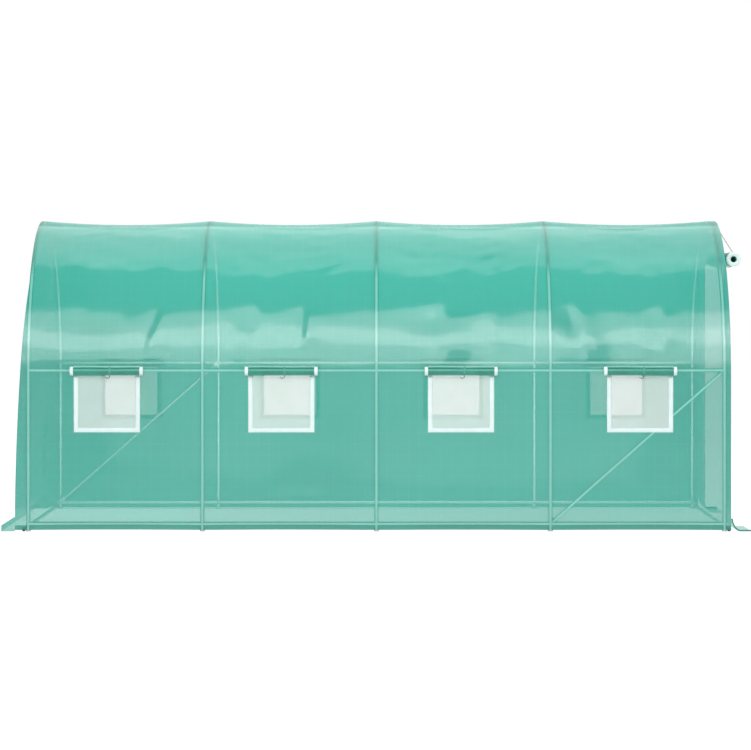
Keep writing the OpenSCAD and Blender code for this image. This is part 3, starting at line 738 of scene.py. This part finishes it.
middle = np.array([DOOR_ROLL_X, 0, DOOR_ROLL_Z])
profile = roll_profile(DOOR_ROLL_HALF - 0.001, DOOR_ROLL_R, DOOR_CORE_R, 0.003)
door_roll = piece("rolled_door", [revolved(profile, middle, (0, 1, 0), DOOR_ROLL_SIDES, lumps)],
                  rolled_door_film)
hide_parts("door_roll")
bands = [band_profile(low, low + DOOR_END_W, DOOR_END_R, DOOR_CORE_R, 0.002)
         for low in (-DOOR_ROLL_HALF, DOOR_ROLL_HALF - DOOR_END_W)]
piece("rolled_door_ends", [revolved(band, middle, (0, 1, 0), DOOR_ROLL_SIDES) for band in bands], tape)


# Bolts where the rails meet the hoops

def bolt(place, out):
    """A round washer and a six-sided head with a domed top, standing out from a tube."""
    place, out = np.asarray(place, float), np.asarray(out, float)
    washer = np.array([[-0.002, 0.002], [-0.002, 0.0085], [0.0012, 0.0085], [0.0012, 0.002]])
    head = np.array([[0.001, 0.001], [0.001, 0.0062], [0.0048, 0.0062], [0.0058, 0.0050], [0.0062, 0.001]])
    return [revolved(washer, place, out, 16), revolved(head, place, out, 6)]


# Hoops, counted from 0, and sides at which a brace's flattened end lies over the rail
BRACE_FEET, BRACE_TOPS = ((BAYS - 1, -1), (0, 1)), ((BAYS, -1), (1, 1))
BRACE_TAB = 0.0040
bolts = []
for k, hoop in enumerate(HOOPS_X):
    bolts += bolt((hoop, 0, SPRING_Z + RAIL_R - TUBE_R), (0, 0, -1))
    for hand in (-1, 1):
        mid_y = hand * (np.sqrt(RAIL_R ** 2 - MID_RAIL_RISE ** 2) - TUBE_R)
        on_tab = hand * BRACE_TAB * np.array([(k, hand) in BRACE_TOPS, (k, hand) in BRACE_FEET])
        bolts += bolt((hoop, mid_y - on_tab[0], SPRING_Z + MID_RAIL_RISE), (0, -hand, 0))
        bolts += bolt((hoop, hand * (RAIL_R - TUBE_R) - on_tab[1], BOTTOM_RAIL_Z), (0, -hand, 0))
piece("frame_bolts", bolts, bolt_steel, smooth=False)


# Studio: white ground and surroundings, and soft boxes in front, overhead, at both ends and inside

def softbox(name, place, turn, width, height, radiance):
    """A flat lamp that glows evenly: its power is its radiance times pi and its area."""
    lamp = bpy.data.lights.new(name, "AREA")
    lamp.shape, lamp.size, lamp.size_y = "RECTANGLE", width, height
    lamp.energy = radiance * np.pi * width * height
    made = bpy.data.objects.new(name, lamp)
    made.location, made.rotation_euler = place, turn
    made.visible_camera = False
    bpy.context.scene.collection.objects.link(made)


# A tall front box with a brighter strip in front of it, and a wide overhead box with a brighter middle
softbox("front_softbox", (0, -10.20, 6.02), (np.radians(60), 0, 0), 8.4, 7.8, 2.35)
softbox("front_strip", (0, -7.98, 5.02), (np.radians(61.5), 0, 0), 8.0, 2.1, 2.4)
softbox("overhead_softbox", (0, 3.26, 6.5), (0, 0, 0), 7.0, 8.5, 1.2)
softbox("overhead_strip", (0, 2.5, 6.45), (0, 0, 0), 7.0, 5.0, 0.5)
# A box high at each end, for the slope of the roof
for hand, name in ((-1, "left_softbox"), (1, "right_softbox")):
    softbox(name, (hand * 6.2, -1.2, 5.2), (0, hand * np.radians(52), 0), 2.6, 2.6, 3.2)
# A fill light inside, just behind the near side, which faces the far side
softbox("inner_fill", (0, -0.94, 0.62), (np.radians(90), 0, 0), 4.4, 1.04, 2.85)


def seen_directly(start):
    """1 on a ray from the camera, a mirror or through glass, and 0 on scattered light."""
    ray = start.add("ShaderNodeLightPath")
    outputs = ray.socket.node.outputs
    glossy, through = (Shade(start.tree, outputs[k]) for k in ("Is Glossy Ray", "Is Transmission Ray"))
    return ray.math("MAXIMUM", glossy.math("MAXIMUM", through))


world = bpy.data.worlds.new("studio")
bpy.context.scene.world = world
world.use_nodes = True
tree = world.node_tree
tree.nodes.clear()
start = Shade(tree, None)
dim = start.add("ShaderNodeBackground", None, {"Color": (0.97, 0.99, 1.0, 1), "Strength": 0.42})
height = start.add("ShaderNodeTexCoord").part(2)
white = start.add("ShaderNodeBackground", None, {"Color": grey(1.0), "Strength": height.step(0.57, 0.77, 1.0, 0.25)})
both = start.add("ShaderNodeMixShader", None, {0: seen_directly(start), 1: dim, 2: white})
tree.links.new(both.socket, tree.nodes.new("ShaderNodeOutputWorld").inputs["Surface"])

GROUND, GROUND_UNDER = 60.0, -0.0006
ground_mesh = bpy.data.meshes.new("ground")
ground_mesh.from_pydata([(GROUND * a, GROUND * b, GROUND_UNDER) for a, b in ((-1, -1), (1, -1), (1, 1), (-1, 1))],
                        [], [(0, 1, 2, 3)])
ground = bpy.data.objects.new("ground", ground_mesh)
bpy.context.scene.collection.objects.link(ground)
start, place, flat, finish = new_material("white_ground")
matt = start.add("ShaderNodeBsdfDiffuse", None, {"Color": grey(0.86)})
# Seen directly, the ground under the tunnel glows brighter, more so towards the left end: a painted pool of light on
# the floor seen through the film
inside = place.part(1).math("ABSOLUTE").step(1.05, 0.90)
glow = 1.28 + inside * place.part(0).step(1.6, -2.0, 0.05, 0.50)
shine = start.add("ShaderNodeEmission", None, {"Color": grey(1.0), "Strength": glow})
ground_mesh.materials.append(finish(start.add("ShaderNodeMixShader", None,
                                              {0: seen_directly(start) * 0.70, 1: matt, 2: shine})))

bpy.context.scene.view_settings.view_transform = "Standard"
bpy.context.view_layer.update()
